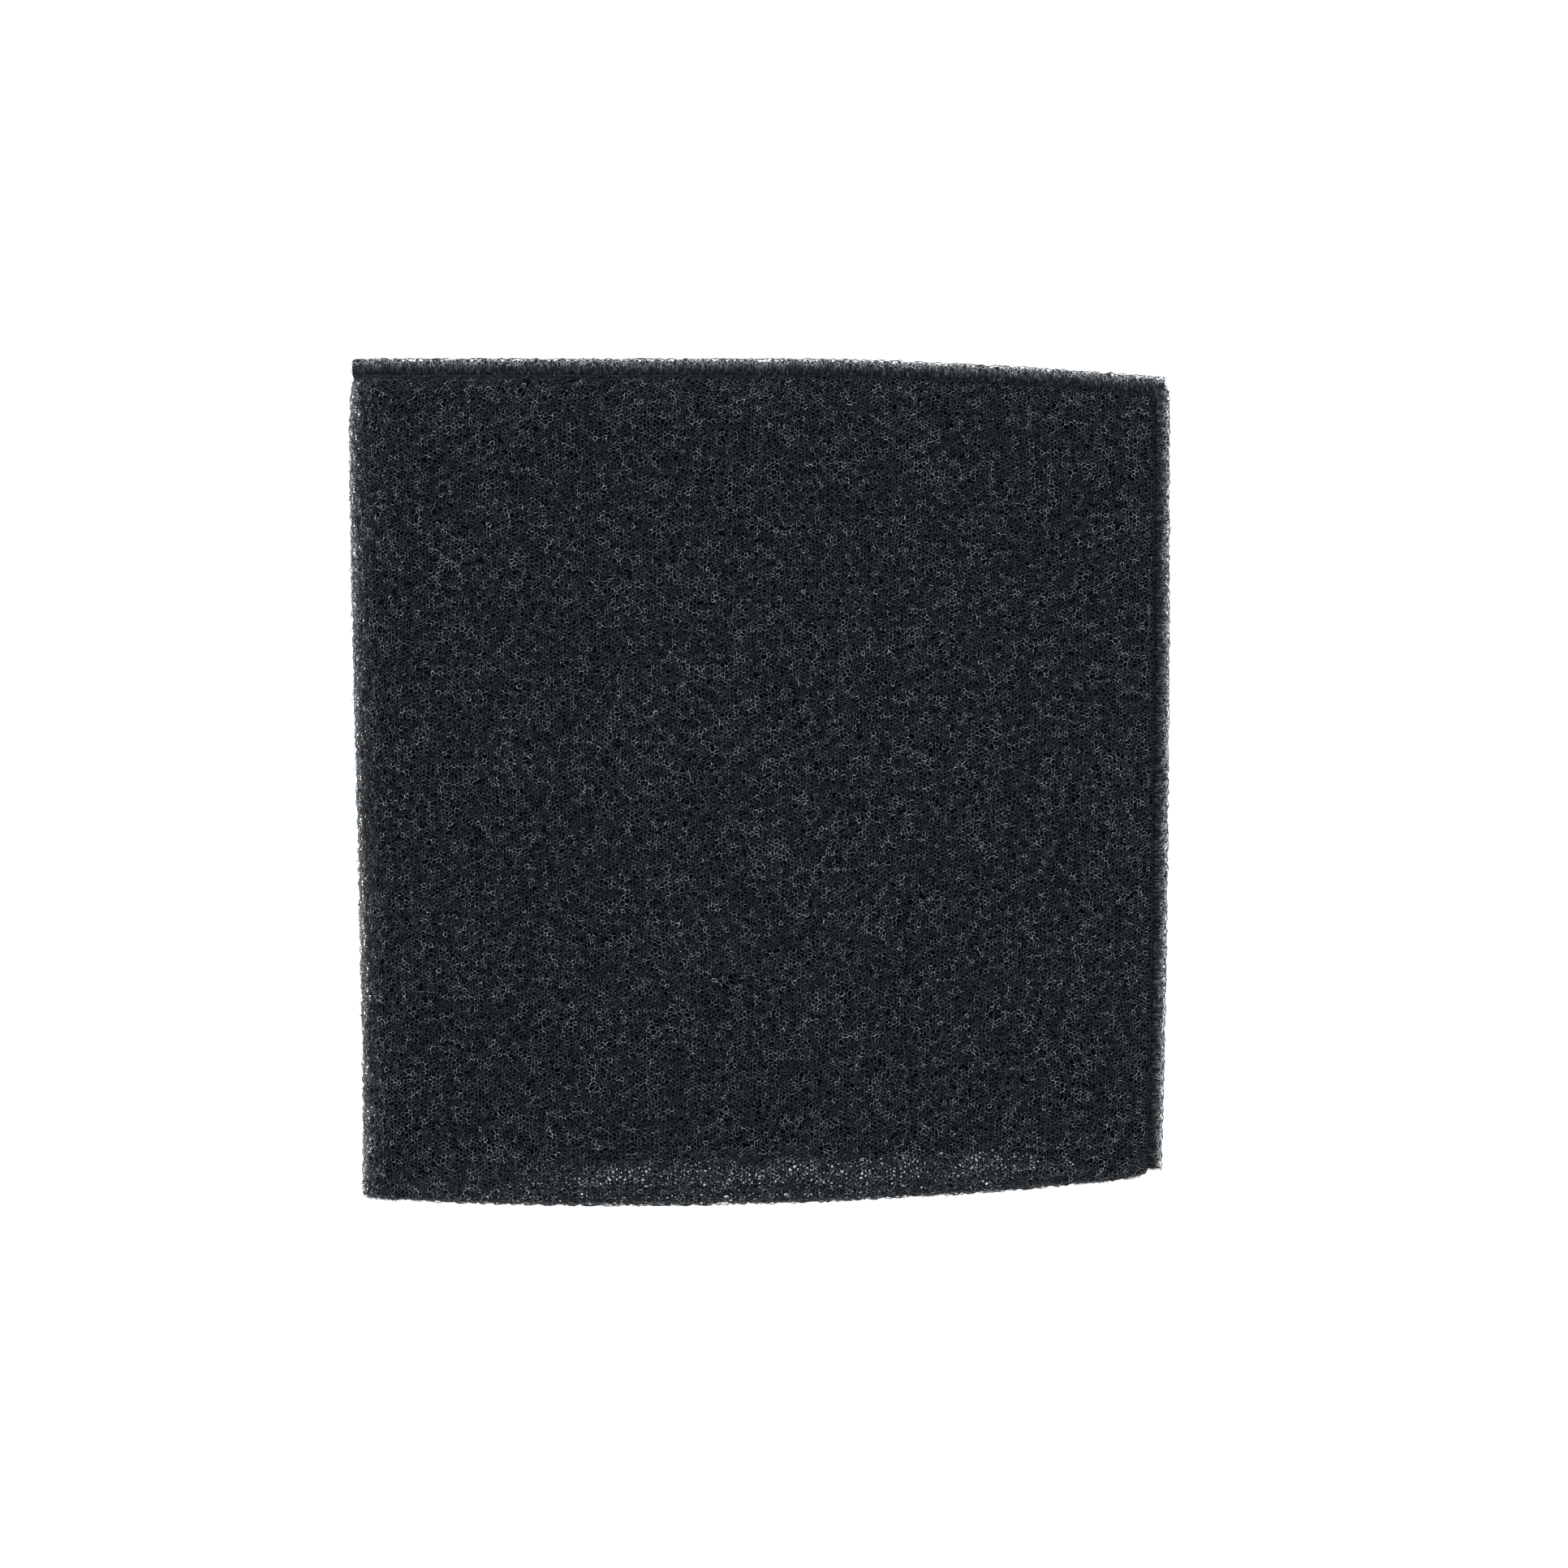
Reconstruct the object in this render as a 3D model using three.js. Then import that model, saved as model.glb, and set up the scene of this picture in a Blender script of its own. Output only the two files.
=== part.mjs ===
// Sponge filter: an open-mouthed sleeve of reticulated foam, lying flat on its back.
//
// One cut sheet of foam is folded over its left edge, and its two halves are welded together
// along the top and down the right side. The mouth at the bottom stays open, so that the
// sleeve can be pulled over a pump or an intake cage. Outside each weld the two layers of
// foam carry on as a narrow trimmed lip.
//
// Millimetres, +Z up, +X towards the side weld, +Y towards the top weld. The origin is under
// the middle of the sleeve, on the surface that it lies on.
import * as THREE from "three";
import { mergeVertices } from "three/addons/utils/BufferGeometryUtils.js";

// Sheet of foam
const FOAM_THICKNESS = 10;
const PINCHED_THICKNESS = 1.6; // one layer, where the weld grips it
const LAYER_GAP = 0.3; // between the two layers at the weld

// Outline of the sleeve. A curve is how steeply a line bends away: 1 would be straight.
const FOLD_X = -97.45; // outside of the fold at the mouth
const FOLD_LEAN = 3.5; // how much further out the fold is at the top
const FOLD_PINCH = 1.6; // how far the fold is drawn in beside the top weld
const WELD_X = 97.65; // middle of the side weld
const WELD_X_PULL = 2.0; // how far the side weld is drawn in at the mouth
const WELD_X_CURVE = 3;
const WELD_Y = 99.3; // middle of the top weld
const WELD_Y_DROP = 4.4; // how far the top weld falls away towards its right end
const WELD_Y_BEND = 0.56; // share of the width where that fall starts
const WELD_Y_CURVE = 1.6;
const WELD_Y_PAST = 1.2; // how far past the side weld the fall goes on, in its own lengths
const MOUTH_Y = -103.1; // lowest point of the front lip
const MOUTH_BEND = 0.25; // share of the width where that point is
const MOUTH_FOLD_RISE = 0.9; // rise of the lip towards the fold
const MOUTH_FOLD_CURVE = 2;
const MOUTH_WELD_RISE = 6.6; // rise of the lip towards the side weld
const MOUTH_WELD_CURVE = 2.1;
const BACK_LIP_INSET = 8; // how much shorter the back panel is at the mouth
const INSET_NEAR_FOLD = [0.02, 0.34]; // shares of the width where it comes in beside the fold
const INSET_NEAR_WELD = [0.86, 1]; // and where it goes out again beside the weld

// Height of the sleeve
const SEAM_Z = 11.5; // mid-height of both welds
const TOP_OPENING = 5.5; // free height inside, near the top weld
const MOUTH_OPENING = 10.5; // free height inside, at the mouth
const OPENING_CURVE = 1.4; // how the free height grows from the top to the mouth
const OPENING_DOME = 0.8; // how round the free height is across the sleeve: 1 is a sine
const OPENING_AT_SIDES = 0.35; // share of the growth that the fold and the side weld get
const PILLOW_REACH = 15; // width of the rounded shoulder beside a weld
const PILLOW_POWER = 2.4; // how square the shoulder is: 2 is round
const FOLD_ROUNDNESS = 0.92; // depth of the fold's outer bend, against a half circle
const INNER_FOLD_ROUNDNESS = 0.6; // the same for the inside of the fold

// Welds and lips
const WELD_WIDTH = 1.6;
const WELD_HEIGHT = 2 * PINCHED_THICKNESS + LAYER_GAP;
const WELD_DENT = 0.5; // how deep the middle of the weld is pressed in
const JOINT_GAP = 0.3; // between a weld and the foam on both its sides
const CORNER_GAP = 0.7; // between the top weld's edge and the end of the side seam
const TOP_LIP_WIDTH = 2.7;
const SIDE_LIP_WIDTH = 2.2;
const LIP_THICKNESS = 3.2;
const LIP_CROWN = [0.3, 0.6]; // shares of the lip's width between which it rounds to full height
const LIP_TAPER = 0.96; // width of the lip on its flat side, against its widest
const FOLD_MARGIN = 0.9; // how far inside the fold's line the top seam starts
const CORNER_MARGIN = 0.6; // how far inside the side lip's edge the top seam ends

// Fineness of the mesh
const SHEET_COLUMNS = 44;
const SHEET_ROWS = 14;
const FOLD_SHARE = 0.16; // share of the sheet's columns that make the fold
const COLUMN_CROWDING = 1.5; // how much closer the columns are beside the side weld
const ROW_CROWDING = 1.6; // how much closer the rows are beside the top weld
const STRIP_STEPS = 18;
const CURVE_STEPS = 4;
const MERGE_DISTANCE = 1e-4;

const FOAM_LOOK = { color: 0x25292b, roughness: 0.9, metalness: 0 };
const WELD_LOOK = { color: 0x101314, roughness: 0.6, metalness: 0 };

const { clamp, lerp, smoothstep } = THREE.MathUtils;

// Outlines, as functions of the share across (0 fold, 1 side weld) or along (0 mouth, 1 top).
// foldX is the fold's line, and foldOutsideX is the foam, which is drawn in beside the weld.

function foldX(along) {
  return FOLD_X - FOLD_LEAN * Math.sin((Math.PI / 2) * along) ** 2;
}

function foldOutsideX(along) {
  return foldX(along) + FOLD_PINCH * (1 - shoulder((1 - along) * (WELD_Y - MOUTH_Y)));
}

function sideWeldX(along) {
  return WELD_X - WELD_X_PULL * (1 - clamp(along, 0, 1)) ** WELD_X_CURVE;
}

function topWeldY(across) {
  const past = clamp((across - WELD_Y_BEND) / (1 - WELD_Y_BEND), 0, WELD_Y_PAST);
  return WELD_Y - WELD_Y_DROP * past ** WELD_Y_CURVE;
}

function mouthY(across) {
  const toFold = clamp(1 - across / MOUTH_BEND, 0, 1);
  const toWeld = clamp((across - MOUTH_BEND) / (1 - MOUTH_BEND), 0, 1);
  const foldRise = MOUTH_FOLD_RISE * toFold ** MOUTH_FOLD_CURVE;
  return MOUTH_Y + foldRise + MOUTH_WELD_RISE * toWeld ** MOUTH_WELD_CURVE;
}

function backLipInset(across) {
  const fromFold = smoothstep(across, ...INSET_NEAR_FOLD);
  const toWeld = 1 - smoothstep(across, ...INSET_NEAR_WELD);
  return BACK_LIP_INSET * fromFold * toWeld;
}

// The pillow: 0 at a weld, rising like the round edge of a cushion to 1

function shoulder(distance) {
  const near = 1 - clamp(distance / PILLOW_REACH, 0, 1);
  return (1 - near ** PILLOW_POWER) ** (1 / PILLOW_POWER);
}

function fullness(across, along) {
  const width = WELD_X - FOLD_X;
  const length = WELD_Y - MOUTH_Y;
  return shoulder((1 - across) * width) * shoulder((1 - along) * length);
}

function opening(across, along) {
  const dome = Math.sin(Math.PI * clamp(across, 0, 1)) ** OPENING_DOME;
  const full = lerp(TOP_OPENING, MOUTH_OPENING, (1 - along) ** OPENING_CURVE);
  return TOP_OPENING + (full - TOP_OPENING) * lerp(OPENING_AT_SIDES, 1, dome);
}

// Heights of the four faces of the sheet at one place

function sheetHeights(across, along) {
  const full = fullness(across, along);
  const half = LAYER_GAP / 2;
  const free = opening(across, along);
  return {
    backOuter: lerp(SEAM_Z - half - PINCHED_THICKNESS, 0, full),
    backInner: lerp(SEAM_Z - half, FOAM_THICKNESS, full),
    frontInner: lerp(SEAM_Z + half, FOAM_THICKNESS + free, full),
    frontOuter: lerp(SEAM_Z + half + PINCHED_THICKNESS, 2 * FOAM_THICKNESS + free, full),
  };
}

// Where one point of the flat sheet comes to lie. spread runs from -1 at the back panel's
// weld over 0 at the fold to 1 at the front panel's weld, outer is true on the outside.

function foldedPoint(spread, along, outer, target) {
  const onPanel = clamp((Math.abs(spread) - FOLD_SHARE) / (1 - FOLD_SHARE), 0, 1);
  const across = 1 - (1 - onPanel) ** COLUMN_CROWDING;
  const isFront = spread > 0;
  const heights = sheetHeights(across, along);
  const low = outer ? heights.backOuter : heights.backInner;
  const high = outer ? heights.frontOuter : heights.frontInner;
  const halfFree = (heights.frontInner - heights.backInner) / 2;
  const halfHeight = heights.frontOuter - heights.frontInner + halfFree;
  const foldRadius = halfHeight * FOLD_ROUNDNESS;
  const reach = outer ? foldRadius : halfFree * INNER_FOLD_ROUNDNESS;
  const centreX = foldOutsideX(along) + foldRadius;
  const innerX = sideWeldX(along) - WELD_WIDTH / 2 - JOINT_GAP;
  if (Math.abs(spread) < FOLD_SHARE) {
    const angle = (spread / FOLD_SHARE) * (Math.PI / 2);
    target.x = centreX - reach * Math.cos(angle);
    target.z = (low + high) / 2 + ((high - low) / 2) * Math.sin(angle);
  } else {
    target.x = lerp(centreX, innerX, across);
    target.z = isFront ? high : low;
  }
  const mouth = mouthY(across) + (isFront ? 0 : backLipInset(across));
  const top = topWeldY(across) - WELD_WIDTH / 2 - JOINT_GAP;
  target.y = lerp(mouth, top, along);
}

function foldedFoam() {
  const flat = new THREE.BoxGeometry(2, 1, 1, SHEET_COLUMNS, SHEET_ROWS, 1);
  const position = flat.attributes.position;
  const point = new THREE.Vector3();
  for (let i = 0; i < position.count; i += 1) {
    const along = 1 - (0.5 - position.getY(i)) ** ROW_CROWDING;
    foldedPoint(position.getX(i), along, position.getZ(i) > 0, point);
    position.setXYZ(i, point.x, point.y, point.z);
  }
  return closed(flat);
}

// A strip of the given section (x outwards from the weld, y up) laid along a seam line

function strip(section, seamPoint, outward) {
  const flat = new THREE.ExtrudeGeometry(section, {
    steps: STRIP_STEPS,
    depth: 1,
    bevelEnabled: false,
    curveSegments: CURVE_STEPS,
  });
  const position = flat.attributes.position;
  const seam = new THREE.Vector3();
  for (let i = 0; i < position.count; i += 1) {
    seamPoint(position.getZ(i), seam);
    seam.addScaledVector(outward, position.getX(i));
    position.setXYZ(i, seam.x, seam.y, SEAM_Z + position.getY(i));
  }
  return closed(flat);
}

function closed(geometry) {
  geometry.deleteAttribute("normal");
  geometry.deleteAttribute("uv");
  return mergeVertices(geometry, MERGE_DISTANCE);
}

// Along the top seam, from the fold to its right end

function topSeamPoint(share, target) {
  const left = foldX(1) + FOLD_MARGIN;
  const right = WELD_X + WELD_WIDTH / 2 + JOINT_GAP + SIDE_LIP_WIDTH - CORNER_MARGIN;
  target.x = lerp(left, right, share);
  target.y = topWeldY((target.x - left) / (WELD_X - left));
}

// Along the side seam, from just below the top seam to the mouth

function sideSeamPoint(share, target) {
  const low = mouthY(1);
  const high = topWeldY(1) - WELD_WIDTH / 2 - CORNER_GAP;
  target.y = lerp(high, low, share);
  target.x = sideWeldX((target.y - low) / (high - low));
}

// The weld: a flat bar with its middle pressed in on both faces

function weldSection() {
  const section = new THREE.Shape();
  const w = WELD_WIDTH / 2;
  const h = WELD_HEIGHT / 2;
  section.moveTo(-w, -h);
  section.lineTo(0, -h + WELD_DENT);
  section.lineTo(w, -h);
  section.lineTo(w, h);
  section.lineTo(0, h - WELD_DENT);
  section.lineTo(-w, h);
  return section;
}

// One layer of a lip: flat against the other layer, and bulging away from it

function lipSection(width, side) {
  const section = new THREE.Shape();
  const inner = WELD_WIDTH / 2 + JOINT_GAP;
  const base = side * (LAYER_GAP / 2);
  const low = side * (LAYER_GAP / 2 + PINCHED_THICKNESS);
  const high = side * (LAYER_GAP / 2 + LIP_THICKNESS);
  section.moveTo(inner, base);
  section.lineTo(inner, low);
  section.quadraticCurveTo(inner + LIP_CROWN[0] * width, high, inner + LIP_CROWN[1] * width, high);
  section.quadraticCurveTo(inner + width, high, inner + width, low);
  section.lineTo(inner + LIP_TAPER * width, base);
  return section;
}

function piece(name, geometry, look) {
  const mesh = new THREE.Mesh(geometry, new THREE.MeshStandardMaterial(look));
  mesh.name = name;
  return mesh;
}

function seam(name, lipWidth, seamPoint, outward) {
  const group = new THREE.Group();
  const front = strip(lipSection(lipWidth, 1), seamPoint, outward);
  const back = strip(lipSection(lipWidth, -1), seamPoint, outward);
  group.add(piece(`${name}_weld`, strip(weldSection(), seamPoint, outward), WELD_LOOK));
  group.add(piece(`${name}_lip_front`, front, FOAM_LOOK));
  group.add(piece(`${name}_lip_back`, back, FOAM_LOOK));
  return group;
}

const sleeve = new THREE.Group();
sleeve.add(piece("folded_foam", foldedFoam(), FOAM_LOOK));
sleeve.add(seam("top", TOP_LIP_WIDTH, topSeamPoint, new THREE.Vector3(0, 1, 0)));
sleeve.add(seam("side", SIDE_LIP_WIDTH, sideSeamPoint, new THREE.Vector3(1, 0, 0)));

export default sleeve;
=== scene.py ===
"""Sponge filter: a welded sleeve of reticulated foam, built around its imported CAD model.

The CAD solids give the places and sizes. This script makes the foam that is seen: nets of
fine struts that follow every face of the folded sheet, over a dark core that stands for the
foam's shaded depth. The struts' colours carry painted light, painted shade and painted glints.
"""

import math
import random

import bmesh
import bpy
from mathutils import Matrix, Vector


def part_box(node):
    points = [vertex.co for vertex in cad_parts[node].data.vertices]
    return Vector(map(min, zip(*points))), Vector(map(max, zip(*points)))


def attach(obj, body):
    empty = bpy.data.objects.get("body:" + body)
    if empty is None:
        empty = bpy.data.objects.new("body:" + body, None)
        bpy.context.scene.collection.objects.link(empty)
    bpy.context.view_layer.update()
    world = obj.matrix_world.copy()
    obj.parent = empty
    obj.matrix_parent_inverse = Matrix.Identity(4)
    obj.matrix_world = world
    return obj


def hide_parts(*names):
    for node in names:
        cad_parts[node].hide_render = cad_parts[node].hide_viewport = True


bl_info = {
    "name": "Sponge filter sleeve",
    "version": (1, 0, 0),
    "blender": (4, 5, 0),
    "location": "3D View > Sidebar > Sponge",
    "description": "Builds a welded sleeve of reticulated filter foam",
    "category": "Add Mesh",
}

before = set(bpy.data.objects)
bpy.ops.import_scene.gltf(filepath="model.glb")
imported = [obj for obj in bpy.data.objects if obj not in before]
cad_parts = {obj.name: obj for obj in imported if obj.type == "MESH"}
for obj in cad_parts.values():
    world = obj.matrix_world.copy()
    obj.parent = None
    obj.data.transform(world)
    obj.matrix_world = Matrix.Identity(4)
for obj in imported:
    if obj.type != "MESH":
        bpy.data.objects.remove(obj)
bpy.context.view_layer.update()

BODY = "root"
QUARTER = math.pi / 2
WELD_BITE = 0.0004  # how far the panels run into a weld
CELL_PITCH = 1.73  # pitch of the grid that gives cells 1 apart
ROW_STEP = 0.87  # a grid's rows against its columns, for triangles with even sides
ROW_SLIDE = 0.25  # how far every other row is slid one way, and the rest the other, in pitches
SHAKE = 0.32  # how far the grid's points are shaken, in pitches
STRAY = 0.08  # how far a strut's end strays, in cells
FRAY = 0.40  # the same at a net's rim
CORE_RAGGED = 0.22  # how uneven the core's edge is at the mouth, as a share of its inset
PAINTED_WELD_SHADE = 3.2  # painted shade: how much darker struts are painted where they run into a weld, in lifts
PAINTED_FOLD_LIGHT = 1.3  # painted light: how much paler they are painted at the fold, where light comes through
TILT = 0.8  # how far a ring of struts is tilted, in reliefs for each cell
RING_CUT = 30.0  # how far along each side of the grid a ring reaches, in percent
RING_SIZES = (0.8, 1.15)  # smallest and largest ring, against an even net's
RING_SHARE = 0.3  # how often a strut of a ring is missing, against a link between rings
FOAM_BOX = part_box("folded_foam")
TOP_WELD_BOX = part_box("top_weld")
SIDE_WELD_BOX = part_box("side_weld")


# ---------------------------------------------------------------------------
# Settings


class SleeveShape(bpy.types.PropertyGroup):
    """How the sheet of foam is folded, pinched and cut."""

    thickness: bpy.props.FloatProperty(
        name="Sheet thickness", description="Thickness of the foam", default=0.010, unit="LENGTH"
    )
    pinched: bpy.props.FloatProperty(
        name="Pinched layer", description="One layer at the weld", default=0.0016, unit="LENGTH"
    )
    layer_gap: bpy.props.FloatProperty(
        name="Layer gap", description="Between the layers at the weld", default=0.0003, unit="LENGTH"
    )
    weld_width: bpy.props.FloatProperty(
        name="Weld width", description="Width of the fused line", default=0.0016, unit="LENGTH"
    )
    joint_gap: bpy.props.FloatProperty(
        name="Joint gap", description="Between the weld and the foam", default=0.0003, unit="LENGTH"
    )
    fold_lean: bpy.props.FloatProperty(
        name="Fold lean", description="How far the fold leans out at the top", default=0.0035, unit="LENGTH"
    )
    fold_pinch: bpy.props.FloatProperty(
        name="Fold pinch", description="How far the fold is drawn in beside the top weld",
        default=0.0016, unit="LENGTH",
    )
    side_pull: bpy.props.FloatProperty(
        name="Side pull", description="How far the side weld is drawn in at the mouth",
        default=0.0020, unit="LENGTH",
    )
    top_drop: bpy.props.FloatProperty(
        name="Top drop", description="Fall of the top weld at its right end", default=0.0044, unit="LENGTH"
    )
    top_bend: bpy.props.FloatProperty(
        name="Top bend", description="Share of the width where the top weld starts to fall",
        default=0.56, subtype="FACTOR",
    )
    mouth_bend: bpy.props.FloatProperty(
        name="Mouth bend", description="Share of the width where the lip is lowest",
        default=0.25, subtype="FACTOR",
    )
    mouth_fold_rise: bpy.props.FloatProperty(
        name="Lip rise at the fold", description="Rise of the lip at the fold", default=0.0009, unit="LENGTH"
    )
    mouth_weld_rise: bpy.props.FloatProperty(
        name="Lip rise at the weld", description="Rise of the lip at the side weld",
        default=0.0066, unit="LENGTH",
    )
    back_inset: bpy.props.FloatProperty(
        name="Back lip inset", description="How much shorter the back panel is", default=0.008, unit="LENGTH"
    )
    top_opening: bpy.props.FloatProperty(
        name="Opening at the top", description="Free height inside at the top", default=0.0055, unit="LENGTH"
    )
    mouth_opening: bpy.props.FloatProperty(
        name="Opening at the mouth", description="Free height inside at the mouth",
        default=0.0105, unit="LENGTH",
    )
    pillow_reach: bpy.props.FloatProperty(
        name="Shoulder reach", description="Width of the round shoulder beside a weld",
        default=0.015, unit="LENGTH",
    )


class FoamLook(bpy.types.PropertyGroup):
    """Cells, struts and colours of the foam."""

    cell: bpy.props.FloatProperty(
        name="Cell", description="Distance from one pore to the next", default=0.00096, unit="LENGTH"
    )
    back_cell: bpy.props.FloatProperty(
        name="Cell behind", description="Cell of the net on the underside", default=0.0027, unit="LENGTH"
    )
    strut: bpy.props.FloatProperty(
        name="Strut", description="Thickness of a strut", default=0.00020, unit="LENGTH"
    )
    relief: bpy.props.FloatProperty(
        name="Relief", description="How far struts stand above or below their net",
        default=0.00045, unit="LENGTH",
    )
    missing: bpy.props.FloatProperty(
        name="Missing struts", description="Share of the struts that are left out",
        default=0.22, min=0, max=1, subtype="FACTOR",
    )
    core_depth: bpy.props.FloatProperty(
        name="Core depth", description="Depth at which the foam looks solid", default=0.0015, unit="LENGTH"
    )
    fold_core_depth: bpy.props.FloatProperty(
        name="Core depth at the fold", description="Depth of the solid look where light comes through",
        default=0.0030, unit="LENGTH",
    )
    strut_colour: bpy.props.FloatVectorProperty(
        name="Strut colour", description="Colour of the struts", size=3, subtype="COLOR",
        default=(0.0245, 0.0272, 0.0290), min=0, max=1,
    )
    # Painted shade: the dark seen between the struts, used for the core, the deeper struts and the low end
    # of the struts' colour; the fused weld and the flange strands take their dark tones from it too.
    deep_colour: bpy.props.FloatVectorProperty(
        name="Depth colour", description="Colour between the struts", size=3, subtype="COLOR",
        default=(0.0048, 0.0065, 0.0080), min=0, max=1,
    )


class StudioLook(bpy.types.PropertyGroup):
    """Floor, lights and camera."""

    floor_colour: bpy.props.FloatVectorProperty(
        name="Floor colour", description="Colour of the floor", size=3, subtype="COLOR",
        default=(0.92, 0.92, 0.92), min=0, max=1,
    )
    camera_height: bpy.props.FloatProperty(
        name="Camera height", description="Height of the camera above the floor", default=0.9, unit="LENGTH"
    )
    frame_width: bpy.props.FloatProperty(
        name="Frame width", description="Width of the view at the seams' height",
        default=0.3864, unit="LENGTH",
    )
    camera_side: bpy.props.FloatProperty(
        name="Camera side", description="Camera's place across the sleeve", default=0.0062, unit="LENGTH"
    )
    camera_along: bpy.props.FloatProperty(
        name="Camera along", description="Camera's place along the sleeve", default=-0.0015, unit="LENGTH"
    )
    overhead_power: bpy.props.FloatProperty(
        name="Overhead light", description="Power of the overhead softbox", default=24.0, unit="POWER"
    )
    world_strength: bpy.props.FloatProperty(
        name="Room light", description="Strength of the even light of the room", default=1.3
    )


# ---------------------------------------------------------------------------
# Shape of the folded sheet


def clamp(value, low=0.0, high=1.0):
    return max(low, min(high, value))


def lerp(a, b, share):
    return a + (b - a) * share


def smoothstep(value, low, high):
    share = clamp((value - low) / (high - low))
    return share * share * (3 - 2 * share)


class FoldedSheet:
    """Where each point of the flat sheet of foam comes to lie.

    across_run is the distance along the sheet from the fold line, positive on the front panel
    and negative on the back, along_run is the distance from the mouth, and depth is measured
    from the outer face.
    """

    FOLD_RUN = 2.1  # run of sheet that half the fold takes up, in thicknesses
    FOLD_ROOM = 0.6  # width that it takes up across the sleeve, against that run
    FOLD_RADIUS = 1.25  # radius of a full fold, in thicknesses
    FOLD_ROUND = 0.92  # radius across the sleeve, against half the sleeve's height
    INNER_ROUND = 0.6  # the same on the inner face, against half the free height
    FOLD_FADE = (0.35, 0.75)  # where the fold gives way to the panel, in full folds
    SIDE_CURVE = 3  # how late the side weld is drawn in
    TOP_CURVE = 1.6  # how the top weld's fall steepens
    FOLD_LIP_CURVE = 2  # how the lip's rise steepens towards the fold
    WELD_LIP_CURVE = 2.1  # and towards the weld
    PILLOW_CURVE = 2.4  # squareness of the shoulder beside a weld
    DOME_CURVE = 0.8  # how full the dome between the fold and the side weld is
    MOUTH_CURVE = 1.4  # how the free height grows towards the mouth
    EDGE_OPENING = 0.35  # share of that growth that is left at the fold and the weld
    BACK_LIP = (0.02, 0.34, 0.86)  # where the back lip starts to be short, is shortest, and stops

    def __init__(self, shape):
        self.shape = shape
        low, high = FOAM_BOX
        self.fold_x = low.x + shape.fold_lean
        self.weld_x = SIDE_WELD_BOX[1].x - shape.weld_width / 2
        self.weld_y = TOP_WELD_BOX[1].y - shape.weld_width / 2
        self.mouth_y = low.y
        self.seam_z = (TOP_WELD_BOX[0].z + TOP_WELD_BOX[1].z) / 2
        self.width = self.weld_x - self.fold_x
        self.length = self.weld_y - self.mouth_y
        self.full_fold = self.FOLD_RUN * shape.thickness
        self.half_run = self.width - self.FOLD_ROOM * self.full_fold + self.full_fold
        self.long_run = self.length

    def fold_edge_x(self, along):
        """The fold's line, which the top seam starts at."""
        return self.fold_x - self.shape.fold_lean * math.sin(QUARTER * along) ** 2

    def fold_outside_x(self, along):
        """The outside of the fold, drawn in beside the weld."""
        pinched = 1 - self.shoulder((1 - along) * self.length)
        return self.fold_edge_x(along) + self.shape.fold_pinch * pinched

    def side_weld_x(self, along):
        return self.weld_x - self.shape.side_pull * (1 - clamp(along)) ** self.SIDE_CURVE

    def top_weld_y(self, across):
        bend = self.shape.top_bend
        past = clamp((across - bend) / (1 - bend), 0, 1.2)
        return self.weld_y - self.shape.top_drop * past**self.TOP_CURVE

    def mouth_edge_y(self, across, is_front):
        bend = self.shape.mouth_bend
        to_fold = clamp(1 - across / bend)
        to_weld = clamp((across - bend) / (1 - bend))
        lip = self.shape.mouth_fold_rise * to_fold**self.FOLD_LIP_CURVE
        lip += self.shape.mouth_weld_rise * to_weld**self.WELD_LIP_CURVE
        inset = 0 if is_front else self.back_inset(across)
        return self.mouth_y + lip + inset

    def back_inset(self, across):
        start, full, end = self.BACK_LIP
        return self.shape.back_inset * smoothstep(across, start, full) * (1 - smoothstep(across, end, 1))

    def shoulder(self, distance):
        near = 1 - clamp(distance / self.shape.pillow_reach)
        return (1 - near**self.PILLOW_CURVE) ** (1 / self.PILLOW_CURVE)

    def opening(self, across, along):
        shape = self.shape
        dome = max(0, math.sin(math.pi * clamp(across))) ** self.DOME_CURVE
        full = lerp(shape.top_opening, shape.mouth_opening, (1 - clamp(along)) ** self.MOUTH_CURVE)
        return shape.top_opening + (full - shape.top_opening) * lerp(self.EDGE_OPENING, 1, dome)

    def heights(self, across, along):
        """Back outer, back inner, front inner and front outer face."""
        shape = self.shape
        full = self.shoulder((1 - across) * self.width) * self.shoulder((1 - along) * self.length)
        half = shape.layer_gap / 2
        free = self.opening(across, along)
        return (
            lerp(self.seam_z - half - shape.pinched, 0, full),
            lerp(self.seam_z - half, shape.thickness, full),
            lerp(self.seam_z + half, shape.thickness + free, full),
            lerp(self.seam_z + half + shape.pinched, 2 * shape.thickness + free, full),
        )

    def point(self, across_run, along_run, depth):
        shape = self.shape
        is_front = across_run >= 0
        along = along_run / self.long_run
        back_outer, back_inner, front_inner, front_outer = self.heights(0, along)
        half_free = (front_inner - back_inner) / 2
        radius = (front_outer - front_inner + half_free) * self.FOLD_ROUND
        fold_run = self.full_fold * clamp(radius / (self.FOLD_RADIUS * shape.thickness))
        run = abs(across_run)
        share = clamp(depth / shape.thickness)
        if run < fold_run:
            angle = across_run / fold_run * QUARTER
            across = 0
            low, high = lerp(back_outer, back_inner, share), lerp(front_outer, front_inner, share)
            reach = lerp(radius, half_free * self.INNER_ROUND, share)
            x = self.fold_outside_x(along) + radius - reach * math.cos(angle)
            z = (low + high) / 2 + (high - low) / 2 * math.sin(angle)
        else:
            across = (run - fold_run) / (self.half_run - fold_run)
            heights = self.heights(across, along)
            inner_x = self.side_weld_x(along) - shape.weld_width / 2 + WELD_BITE
            x = lerp(self.fold_outside_x(along) + radius, inner_x, across)
            z = lerp(heights[3], heights[2], share) if is_front else lerp(heights[0], heights[1], share)
        mouth = self.mouth_edge_y(across, is_front)
        top = self.top_weld_y(across) - shape.weld_width / 2 + WELD_BITE
        return Vector((x, lerp(mouth, top, along), z))

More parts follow.
